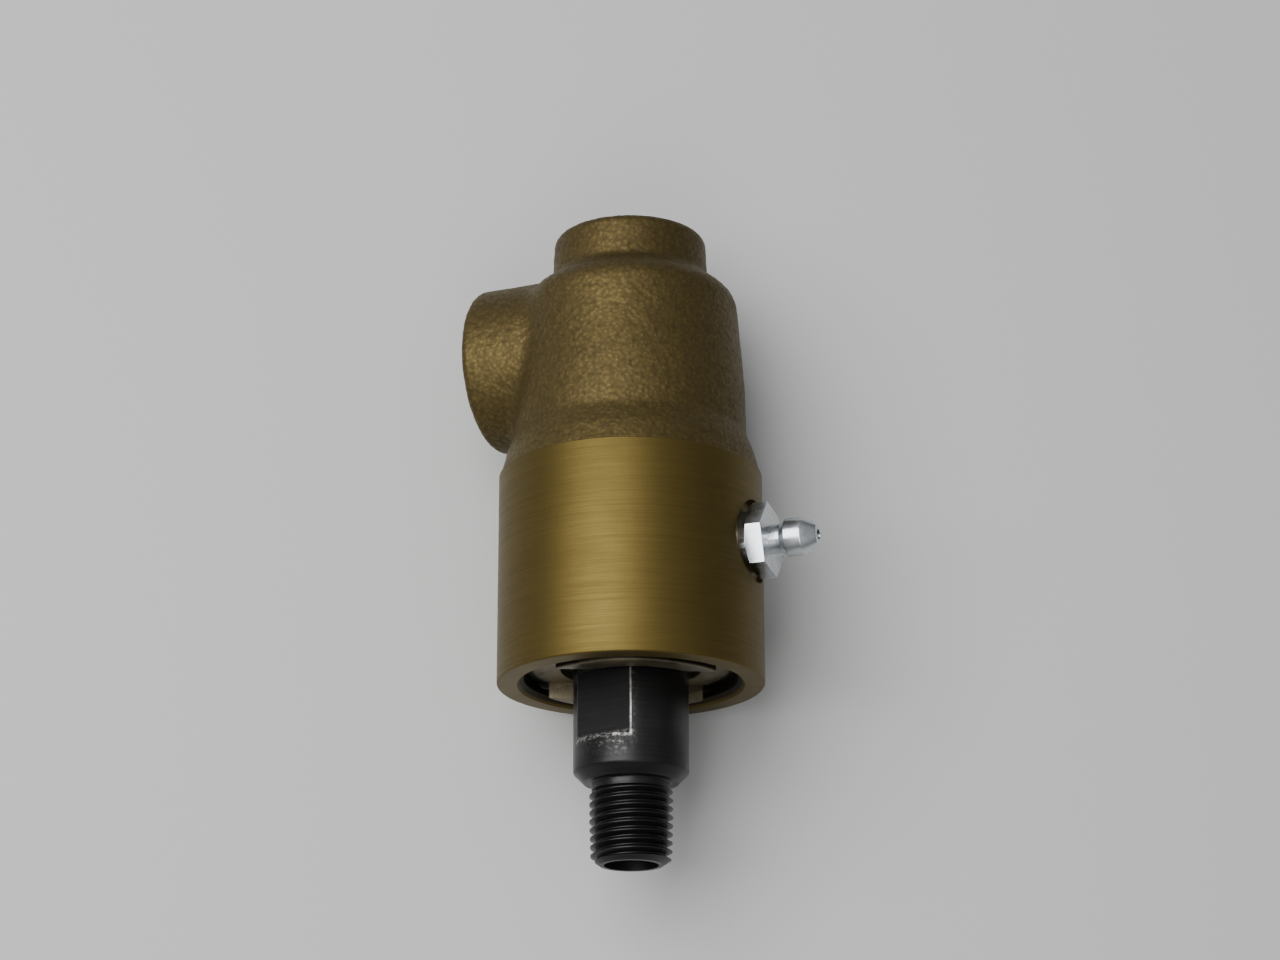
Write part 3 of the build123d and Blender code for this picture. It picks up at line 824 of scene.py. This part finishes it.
@dataclass
class Housing:
    """The cast body: turned bearing end, cast tail, two threaded ports."""

    layout: Layout
    body_radius: float = 22.225
    turned_end: float = 52.5
    mouth_radius: float = 17.75
    mouth_chamfer: float = 1.1
    bearing_radius: float = 17.5
    thread_y: float = 21.5
    shoulder_y: float = 55.5
    cast_radius: float = 19.85
    waist_radius: float = 19.7
    waist_y: float = 68.3
    tail_radius: float = 18.4
    shoulder_length: float = 3.6
    end_boss_radius: float = 13.5
    end_boss_length: float = 7.8
    lip: tuple[float, float, float] = (1.0, 3.5, 2.5)
    flare: tuple[float, float] = (7.1, 3.0)
    side_boss_radius: float = 14.4
    side_reach: float = 25.9
    tap_radius: float = 7.35
    tap_depth: float = 13.0
    tap_chamfer: float = 1.3
    passage_radius: float = 6.5
    spot_radius: float = 7.0
    spot_reach: float = 20.8
    skin_step: float = 0.12         # cast skin below the turned one at their edge
    skin_voxel: float = 0.42
    texture_depth: float = 0.16
    fillet_reach: float = 3.0
    tail_blend: float = 40.0
    shoulder_round: float = 5.0
    neck_round: float = 1.3
    end_boss_round: float = 1.8
    side_boss_round: float = 1.5
    boss_draft: float = 0.3
    sleeve_wall: float = 1.2        # wall of the bearing bore inside the tail
    cavity_radius: float = 12.0
    web_skin: float = 0.1
    tail_overlap: float = 0.6       # the tail's foot inside the turned end
    shank_hole_radius: float = 5.12
    passage_depth: float = 9.0
    drill_point: float = 0.6
    face_trim: float = 0.12         # taken off a port's face
    trim_radius: float = 20.0       # wider than either boss
    face_band: float = 0.16         # how deep the turned finish of a face goes
    thread_reach: float = 8.8       # radius that holds a port's thread and chamfer
    face_round: float = 0.35
    seam_round: float = 0.15
    sand: tuple[float, float] = (0.9, 1.0)      # size of a pebble, share of the depth
    lumps: tuple[float, float] = (2.6, 0.7)
    port_thread: TaperThread = TaperThread(tip_radius=8.16, limit_radius=8.6, length=11.8)
    port_thread_lap: float = 0.2    # port's thread past the port's face
    end_port_from: float = 70.0
    side_port_from: float = 8.0

    def build(self, cast: bpy.types.Material, turned: bpy.types.Material) -> None:
        """Models both halves and puts them on the body."""
        front = self._turned_end()
        tail = self._cast_tail()
        dress(front, turned)
        dress(tail, cast, turned)
        self._mark_machined(tail)
        for piece in (front, tail):
            settle(piece)
            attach(piece, "body")
            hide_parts("housing")
            log.info("%s: %d faces", piece.name, len(piece.data.polygons))

    def _turned_end(self) -> bpy.types.Object:
        """Spins the bearing end and cuts the grease nipple's seat."""
        face = self.layout.low("housing").y
        sleeve, seat = self.bearing_radius + self.sleeve_wall, self.shoulder_y - self.web_skin
        front = lathe("housing_turned", [
            (self.mouth_radius + self.mouth_chamfer, face), (self.body_radius, face, self.face_round),
            (self.body_radius, self.turned_end, self.seam_round), (sleeve, self.turned_end),
            (sleeve, self.shoulder_y), (self.cavity_radius, self.shoulder_y), (self.cavity_radius, seat),
            (self.bearing_radius, seat), (self.bearing_radius, self.thread_y),
            (self.mouth_radius, self.thread_y), (self.mouth_radius, face + self.mouth_chamfer)], 256)
        across = self.layout.axis("grease_head")
        where = standing(across, Vector((0, self.layout.y("grease_head"), 0)))
        holes = ((self.spot_radius, self.spot_reach), (self.shank_hole_radius, self.bearing_radius - 2 * LAP))
        for radius, low in holes:
            tool = rod("spot", radius, low, self.body_radius + 2 * LAP)
            place(tool, where)
            combine(front, tool, Cut.AWAY)
        return front

    def _cast_tail(self) -> bpy.types.Object:
        """Models the cast tail with its bosses, skin and ports."""
        end = self.layout.high("housing").y
        neck = end - self.end_boss_length
        low, skin, boss = self.turned_end, self.body_radius - self.skin_step, self.end_boss_radius
        lip_step, lip_length, lip_round = self.lip
        flare_length, flare_round = self.flare
        tail = lathe("housing_cast", [
            (0, low - self.tail_overlap), (skin, low - self.tail_overlap), (skin, low),
            (self.body_radius - lip_step, low + lip_length, lip_round),
            (self.cast_radius, low + flare_length, flare_round),
            (self.waist_radius, self.waist_y, self.tail_blend),
            (self.tail_radius, neck - self.shoulder_length, self.shoulder_round),
            (boss, neck, self.neck_round), (boss - self.boss_draft, end, self.end_boss_round), (0, end)])
        side = self.side_boss_radius
        stub = lathe("stub", [(0, 0), (side + self.boss_draft, 0),
                              (side, self.side_reach, self.side_boss_round), (0, self.side_reach)], 128)
        port_axis = self.layout.axis("side_port")
        port_at = standing(port_axis, Vector((0, self.layout.y("side_port"), 0)))
        place(stub, port_at)
        combine(tail, stub, Cut.JOIN)
        modify(tail, "REMESH", mode="VOXEL", voxel_size=self.skin_voxel, adaptivity=0.0)
        self._soften_junction(tail, port_axis)
        self._roughen(tail)
        for turn, reach in ((Matrix.Identity(4), end), (port_at, self.side_reach)):
            self._bore_port(tail, turn, reach)
        return tail

    def _soften_junction(self, tail: bpy.types.Object, port_axis: Vector) -> None:
        """Smooths the corner where the side boss meets the body."""
        port_y = self.layout.y("side_port")

        def near_corner(centre: Vector) -> bool:
            along = centre.x * port_axis.x + centre.z * port_axis.z
            spot = centre - port_axis * along - Vector((0, port_y, 0))
            off_boss = abs(spot.length - self.side_boss_radius)
            off_body = abs(math.hypot(centre.x, centre.z) - self.cast_radius)
            return along > 0 and off_boss < self.fillet_reach and off_body < self.fillet_reach

        select_faces(tail, near_corner)
        bpy.ops.mesh.vertices_smooth(factor=0.5, repeat=30)
        leave()

    def _roughen(self, tail: bpy.types.Object) -> None:
        """Presses the sand's pebbles into the skin, inwards only."""
        for name, (size, share) in (("sand", self.sand), ("lumps", self.lumps)):
            texture = bpy.data.textures.new(name, "CLOUDS")
            texture.noise_scale = size
            texture.noise_depth = 2
            modify(tail, "DISPLACE", texture=texture, texture_coords="LOCAL",
                   strength=self.texture_depth * share, mid_level=1.0)

    def _bore_port(self, tail: bpy.types.Object, turn: Matrix, reach: float) -> None:
        """Faces one port and cuts its chamfer, thread and passage."""
        floor = reach - self.tap_depth
        foot = floor - self.passage_depth
        trim = rod("trim", self.trim_radius, reach - self.face_trim, reach + 2 * LAP, 64)
        tap = lathe("tap", [(0, foot), (self.passage_radius, foot),
                            (self.passage_radius, floor - self.drill_point), (self.tap_radius, floor),
                            (self.tap_radius, reach - self.tap_chamfer),
                            (self.tap_radius + self.tap_chamfer + LAP, reach + LAP), (0, reach + LAP)], 128)
        thread = self.port_thread.build("female")
        thread_foot = reach - self.port_thread.length + self.port_thread_lap
        place(thread, Matrix.Translation((0, thread_foot, 0)))
        combine(tap, thread, Cut.JOIN)
        for tool in (trim, tap):
            place(tool, turn)
            combine(tail, tool, Cut.AWAY)

    def _mark_machined(self, tail: bpy.types.Object) -> None:
        """Gives the ports' faces and threads the turned finish."""
        end = self.layout.high("housing").y
        side_axis, side_y = self.layout.axis("side_port"), self.layout.y("side_port")
        for face in tail.data.polygons:
            centre = face.center
            out = centre.x * side_axis.x + centre.z * side_axis.z
            side_off = (centre - side_axis * out - Vector((0, side_y, 0))).length
            end_off = math.hypot(centre.x, centre.z)
            at_end = centre.y > end - self.face_band
            in_end = centre.y > self.end_port_from and end_off < self.thread_reach
            at_side = out > self.side_reach - self.face_band
            in_side = out > self.side_port_from and side_off < self.thread_reach
            face.material_index = 1 if at_end or in_end or at_side or in_side else 0


@dataclass
class RetainerRing:
    """The slotted ring that holds the bearings in the housing."""

    layout: Layout
    hole_radius: float = 11.7
    lip_radius: float = 16.3
    lip_length: float = 1.7
    thread_radius: float = 17.7
    relief_radius: float = 15.0
    slot_width: float = 19.5
    slot_depth: float = 2.6
    slot_turn: float = 5.0
    hole_round: float = 0.9
    lip_round: float = 0.35
    lead: float = 0.5               # chamfer that leads into the thread
    back_gap: float = 0.5           # the ring's web stays this far off the bearing
    across_all: float = 50.0        # longer than the ring is wide

    def build(self, finish: bpy.types.Material) -> None:
        """Models the ring and puts it on the body."""
        low, high = self.layout.low("retainer_ring").y, self.layout.high("retainer_ring").y
        lip = low + self.lip_length
        ring = lathe("retainer_ring_dressed", [
            (self.hole_radius, low, self.hole_round), (self.lip_radius, low, self.lip_round),
            (self.lip_radius, lip), (self.thread_radius - self.lead, lip),
            (self.thread_radius, lip + self.lead), (self.thread_radius, high),
            (self.relief_radius, high), (self.relief_radius, high - self.back_gap),
            (self.hole_radius, high - self.back_gap)], 192)
        deselect()
        bpy.ops.mesh.primitive_cube_add(size=1.0)
        tool = bpy.context.object
        turn = Matrix.Rotation(math.radians(self.slot_turn), 4, "Y")
        size = Matrix.Diagonal((self.across_all, 2 * self.slot_depth, self.slot_width, 1))
        place(tool, turn @ Matrix.Translation((0, low, 0)) @ size)
        combine(ring, tool, Cut.AWAY)
        modify(ring, "BEVEL", width=0.12, segments=2, limit_method="ANGLE", angle_limit=math.radians(50))
        dress(ring, finish)
        settle(ring)
        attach(ring, "body")
        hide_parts("retainer_ring")
        log.info("%s: %d faces", ring.name, len(ring.data.polygons))


@dataclass
class GreaseNipple:
    """The plated nipple: shank, hexagon, neck and head."""

    layout: Layout
    across_flats: float = 11.1
    hex_reach: float = 22.0
    hex_height: float = 3.0
    hex_turn: float = 20.0
    chamfer: float = 0.6
    shank_radius: float = 5.1
    neck_radius: float = 2.45
    neck_length: float = 2.2
    head_radius: float = 3.2
    reach: float = 33.0
    tip_hole: float = 0.85
    bore_radius: float = 1.3
    foot: float = 17.95             # inner end of the shank
    lead_step: float = 0.4
    lead: float = 0.55
    head_foot: float = 0.9          # length of the cone from the neck to the head
    head_edge: float = 0.3
    head_round: float = 0.6
    nose: float = 2.4               # length of the head's taper
    tip_rim: float = 0.9
    seat_depth: float = 1.3         # ball seat below the tip
    seat_cone: float = 0.34

    def build(self, finish: bpy.types.Material) -> None:
        """Models the nipple and puts it on the body."""
        nipple = self._turned_parts()
        combine(nipple, self._hexagon(), Cut.JOIN)
        start, floor, stop = self.foot - LAP, self.reach - self.seat_depth, self.reach + LAP
        hole = lathe("hole", [(0, start), (self.bore_radius, start), (self.bore_radius, floor),
                              (self.tip_hole, floor + self.seat_cone), (self.tip_hole, stop), (0, stop)], 48)
        combine(nipple, hole, Cut.AWAY)
        modify(nipple, "BEVEL", width=0.07, segments=2, limit_method="ANGLE", angle_limit=math.radians(35))
        place(nipple, standing(self.layout.axis("grease_head"), Vector((0, self.layout.y("grease_head"), 0))))
        dress(nipple, finish)
        settle(nipple)
        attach(nipple, "body")
        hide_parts("grease_nipple")
        log.info("%s: %d faces", nipple.name, len(nipple.data.polygons))

    def _turned_parts(self) -> bpy.types.Object:
        """Spins the shank, neck and head."""
        neck = self.hex_reach + self.hex_height
        head = neck + self.neck_length
        shank, shank_top, head_y = self.shank_radius, neck - LAP, head - self.head_edge
        return lathe("grease_nipple_dressed", [
            (0, self.foot), (shank - self.lead_step, self.foot), (shank, self.foot + self.lead),
            (shank, shank_top), (self.neck_radius, shank_top), (self.neck_radius, head_y, 0.4),
            (self.head_radius, head_y + self.head_foot, self.head_edge),
            (self.head_radius, self.reach - self.nose, self.head_round),
            (self.tip_hole + self.tip_rim, self.reach, self.head_edge), (0, self.reach)], 96)

    def _hexagon(self) -> bpy.types.Object:
        """Models the hexagon, its corners turned off at both faces."""
        deselect()
        bpy.ops.mesh.primitive_cylinder_add(vertices=6, radius=self.across_flats / math.sqrt(3),
                                            depth=self.hex_height)
        hexagon = bpy.context.object
        upright = Matrix.Rotation(math.radians(-90), 4, "X")
        turn = Matrix.Rotation(math.radians(self.hex_turn + 30), 4, "Y")
        middle = self.hex_reach + self.hex_height / 2
        place(hexagon, Matrix.Translation((0, middle, 0)) @ turn @ upright)
        low, high, inner = self.hex_reach, self.hex_reach + self.hex_height, self.across_flats / 2
        outer = inner + 2 * self.chamfer
        cone = lathe("cone", [(0, low), (inner, low), (outer, low + self.chamfer),
                              (outer, high - self.chamfer / 2), (inner + self.chamfer, high), (0, high)], 96)
        combine(hexagon, cone, Cut.COMMON)
        return hexagon


@dataclass
class InnerWorks:
    """The CAD pieces inside the housing, which keep their own shapes."""

    nodes: dict[str, bpy.types.Object]
    finishes: dict[str, bpy.types.Material]

    def dress(self, slots: dict[str, str], hidden: set[str]) -> None:
        """Gives every node that still shows the finish of its slot."""
        for name, node in self.nodes.items():
            if name in hidden:
                continue
            dress(node, self.finishes[slots[name]])
            log.info("%s: dressed as %s", name, slots[name])


@dataclass(frozen=True)
class Lamp:
    """A square lamp; metres and watts."""

    name: str
    at: tuple[float, float, float]
    size: float
    power: float


@dataclass(frozen=True)
class Studio:
    """Floor, soft light and the camera."""

    floor_z: float
    floor_colour: Colour = (0.455, 0.457, 0.45)
    elevation: float = 71.5
    distance: float = 0.491
    lens: float = 81.56
    aim: tuple[float, float, float] = (0.0016, 0.0524, 0.0)
    roll: float = -0.18
    zenith: float = 0.44
    horizon: float = 0.13
    zenith_from: float = 0.85       # height of the view direction where the sky is brightest
    sky_colour: Colour = (0.96, 0.98, 1.0)
    lamps: tuple[Lamp, ...] = (Lamp("key", (-0.40, 0.15, 0.85), 0.85, 13.5),
                               Lamp("fill", (-0.05, -0.50, 0.70), 0.40, 1.6))

    def build(self) -> None:
        """Adds everything that isn't part of the object."""
        self._floor()
        self._world()
        for lamp in self.lamps:
            self._lamp(lamp)
        self._camera()

    def _floor(self) -> None:
        """Adds the table top."""
        deselect()
        bpy.ops.mesh.primitive_plane_add(size=6.0, location=(0, 0, self.floor_z))
        floor = bpy.context.object
        floor.name = "floor"
        g = Graph("table_top")
        g.set(Base_Color=self.floor_colour, Roughness=0.55)
        floor.data.materials.append(g.material)
        floor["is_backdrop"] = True

    def _world(self) -> None:
        """Soft room light: brighter overhead than at the horizon."""
        world = bpy.data.worlds.new("studio")
        world.use_nodes = True
        tree = world.node_tree
        background = tree.nodes["Background"]
        place = tree.nodes.new("ShaderNodeTexCoord")
        split = tree.nodes.new("ShaderNodeSeparateXYZ")
        rise = tree.nodes.new("ShaderNodeMapRange")
        rise.interpolation_type = "SMOOTHSTEP"
        limits = {"From Min": 0.0, "From Max": self.zenith_from,
                  "To Min": self.horizon, "To Max": self.zenith}
        for name, value in limits.items():
            rise.inputs[name].default_value = value
        tree.links.new(place.outputs["Generated"], split.inputs[0])
        tree.links.new(split.outputs["Z"], rise.inputs["Value"])
        tree.links.new(rise.outputs["Result"], background.inputs["Strength"])
        background.inputs["Color"].default_value = (*self.sky_colour, 1.0)
        bpy.context.scene.world = world

    def _lamp(self, lamp: Lamp) -> None:
        """Adds one lamp that points at the object's middle."""
        data = bpy.data.lights.new(lamp.name, "AREA")
        data.size = lamp.size
        data.energy = lamp.power
        light = bpy.data.objects.new(lamp.name, data)
        light.location = lamp.at
        towards = Vector(self.aim) - Vector(lamp.at)
        light.rotation_euler = towards.to_track_quat("-Z", "Y").to_euler()
        bpy.context.scene.collection.objects.link(light)

    def _camera(self) -> None:
        """Adds the camera above and before the union."""
        data = bpy.data.cameras.new("camera")
        data.lens = self.lens
        data.sensor_width = 36.0
        camera = bpy.data.objects.new("camera", data)
        tilt = math.radians(90 - self.elevation)
        back = Vector((0, -math.sin(tilt), math.cos(tilt)))
        turn = Matrix.Rotation(tilt, 4, "X") @ Matrix.Rotation(math.radians(self.roll), 4, "Z")
        camera.matrix_world = Matrix.Translation(Vector(self.aim) + back * self.distance) @ turn
        bpy.context.scene.collection.objects.link(camera)
        bpy.context.scene.camera = camera


def make_finishes() -> dict[str, bpy.types.Material]:
    """Builds one material per slot of the record, and the turned bronze."""
    plain = {
        "bearing_steel": PlainMetal("bearing_steel", (0.42, 0.42, 0.43), (0.66, 0.66, 0.67), (0.14, 0.26)),
        "spring_steel": PlainMetal("spring_steel", (0.16, 0.16, 0.17), (0.36, 0.36, 0.38), (0.26, 0.4)),
        "carbon": PlainMetal("carbon", (0.018, 0.018, 0.02), (0.05, 0.05, 0.054), (0.35, 0.5), 0.2),
        "seal_steel": PlainMetal("seal_steel", (0.4, 0.4, 0.41), (0.58, 0.58, 0.6), (0.12, 0.3)),
        "rubber": PlainMetal("seal_rubber", (0.012, 0.012, 0.012), (0.03, 0.03, 0.03), (0.5, 0.7), 0.0),
        "zinc_plate": PlainMetal("zinc_plate", (0.44, 0.465, 0.49), (0.68, 0.71, 0.74), (0.20, 0.36)),
        "spacer_steel": PlainMetal("spacer_steel", (0.3, 0.3, 0.31), (0.5, 0.5, 0.5), (0.28, 0.42)),
    }
    finishes = {
        "cast_bronze": CastBronze().material(),
        "turned_bronze": TurnedBronze().material(),
        "black_steel": BlackOxide().material(),
        "yellow_zinc": ShadedYellowZinc().material(),
    }
    finishes.update({slot: finish.material() for slot, finish in plain.items()})
    return finishes


def main() -> None:
    """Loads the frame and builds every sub-assembly."""
    logging.basicConfig(level=logging.INFO, format="%(name)s %(message)s")
    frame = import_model()
    cad_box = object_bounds()
    record = frame["record"]
    layout = Layout(record)
    finishes = make_finishes()
    Rotor(layout).build(finishes["black_steel"])
    Housing(layout).build(finishes["cast_bronze"], finishes["turned_bronze"])
    RetainerRing(layout).build(finishes["yellow_zinc"])
    GreaseNipple(layout).build(finishes["zinc_plate"])
    slots = {part["node"]: part["material_slot"] for part in record["subparts"]}
    hidden = {"rotor", "housing", "retainer_ring", "grease_nipple"}
    InnerWorks(frame["nodes"], finishes).dress(slots, hidden)
    Studio(cad_box[0].z).build()


if __name__ == "__main__":
    main()
